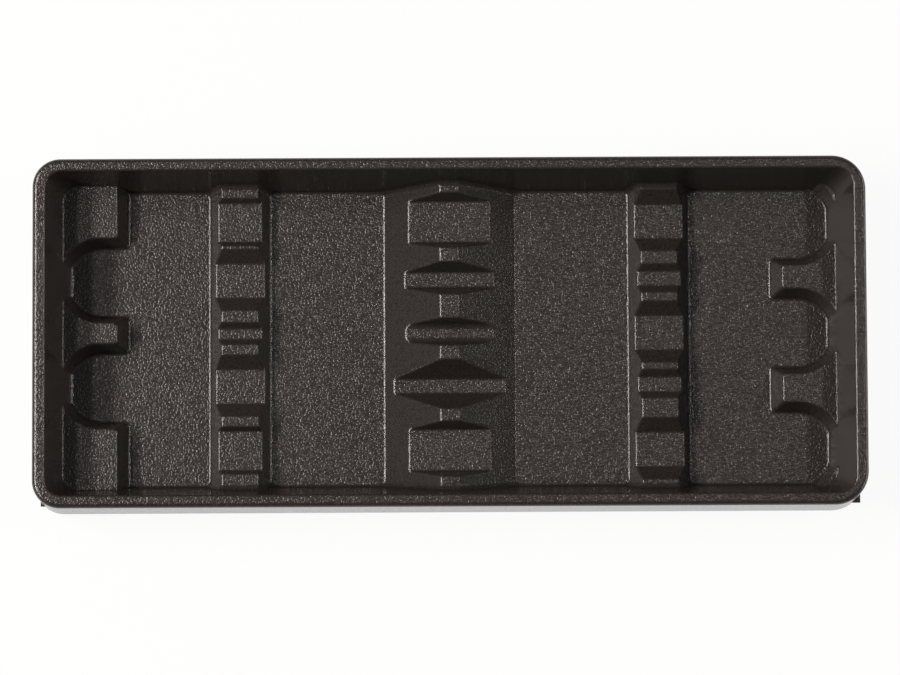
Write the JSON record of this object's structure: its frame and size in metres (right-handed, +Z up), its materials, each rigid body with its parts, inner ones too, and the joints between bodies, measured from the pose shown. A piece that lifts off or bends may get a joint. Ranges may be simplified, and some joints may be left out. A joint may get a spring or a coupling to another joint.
{
  "type": "thermoformed plastic tool tray",
  "caption": "Long dark plastic drawer tray with cupped end blocks, notched cross ribs and a central ridge for handled files.",
  "frame": {"origin": "centre of the footprint, on the plane the base rests on", "axes": "+X along the tray, +Y across it towards the far side wall, +Z up out of its open mouth"},
  "size_m": [0.421, 0.1774, 0.0415],
  "materials": {
    "sheet": "fine pebble grain, satin black"
  },
  "bodies": {
    "root": {"tray": "sheet"}
  },
  "joints": []
}
